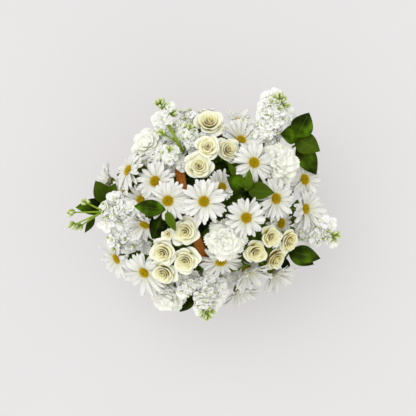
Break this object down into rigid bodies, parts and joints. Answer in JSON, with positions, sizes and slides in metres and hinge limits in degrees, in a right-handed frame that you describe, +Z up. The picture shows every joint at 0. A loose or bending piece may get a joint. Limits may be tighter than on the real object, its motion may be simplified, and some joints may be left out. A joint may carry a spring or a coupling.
{
  "type": "floral table centerpiece",
  "caption": "Low round centerpiece of white daisies, cream spray roses, carnations and stock with green leaves, set in foam in a lined willow basket with an arched handle.",
  "frame": {"origin": "middle of the basket's foot, on the surface that it stands on", "axes": "+Z up from the table; +X to the right of the arrangement and +Y to its far side, as seen from above with the handle's high side to the left"},
  "size_m": [0.3757, 0.3183, 0.2751],
  "materials": {
    "daisy_rays": "matte white petals with fine lengthwise ribs",
    "daisy_green_and_gold": "golden daisy discs, green calyx and green stems",
    "cream_roses": "soft cream petals, deeper yellow in the folds",
    "white_carnations": "matte ruffled white petals with a warm depth",
    "white_stock": "matte white florets with greenish buds at the tips",
    "leaves": "satin green leaves with a pale midrib",
    "willow": "stripped willow rods, waxed, satin",
    "bentwood": "steam-bent wood strip, oiled, satin",
    "liner": "dark green moulded plastic pot liner",
    "foam": "wet green flower foam, fine open grain",
    "brass_nails": "satin brass"
  },
  "bodies": {
    "root": {"basket_bowl": "willow", "carnation_back": "white_carnations", "carnation_front": "white_carnations", "carnation_front_low": "white_carnations", "carnation_left_back": "white_carnations", "carnation_right": "white_carnations", "daisy_back_inner": "daisy_rays", "daisy_back_low": "daisy_rays", "daisy_crown": "daisy_rays", "daisy_crown_left": "daisy_rays", "daisy_crown_right": "daisy_rays", "daisy_far_right": "daisy_rays", "daisy_front": "daisy_rays", "daisy_front_left": "daisy_rays", "daisy_front_low": "daisy_rays", "daisy_front_middle": "daisy_rays", "daisy_front_right": "daisy_rays", "daisy_inner": "daisy_rays", "daisy_left_back": "daisy_rays", "daisy_left_bottom": "daisy_rays", "daisy_left_edge": "daisy_rays", "daisy_left_fold": "daisy_rays", "daisy_left_inner": "daisy_rays", "daisy_left_low": "daisy_rays", "daisy_left_shoulder": "daisy_rays", "daisy_right": "daisy_rays", "daisy_right_edge": "daisy_rays", "daisy_right_low": "daisy_rays", "daisy_right_shoulder": "daisy_rays", "daisy_stems_crown": "daisy_green_and_gold", "daisy_stems_front": "daisy_green_and_gold", "daisy_stems_front_left": "daisy_green_and_gold", "daisy_stems_left": "daisy_green_and_gold", "daisy_stems_left_back": "daisy_green_and_gold", "daisy_stems_right": "daisy_green_and_gold", "daisy_stems_right_back": "daisy_green_and_gold", "flower_foam": "foam", "handle": "bentwood", "handle_nail_back": "brass_nails", "handle_nail_front": "brass_nails", "leaves_back_right": "leaves", "leaves_crown_left": "leaves", "leaves_crown_right": "leaves", "leaves_front_left": "leaves", "leaves_front_right": "leaves", "leaves_left": "leaves", "liner": "liner", "rim_band": "bentwood", "rose_spray_back": "cream_roses", "rose_spray_front_left": "cream_roses", "rose_spray_front_right": "cream_roses", "stock_back": "white_stock", "stock_back_left": "white_stock", "stock_back_right": "white_stock", "stock_crown": "white_stock", "stock_front": "white_stock", "stock_front_left": "white_stock", "stock_left": "white_stock", "stock_left_low": "white_stock", "stock_right": "white_stock"}
  },
  "joints": []
}
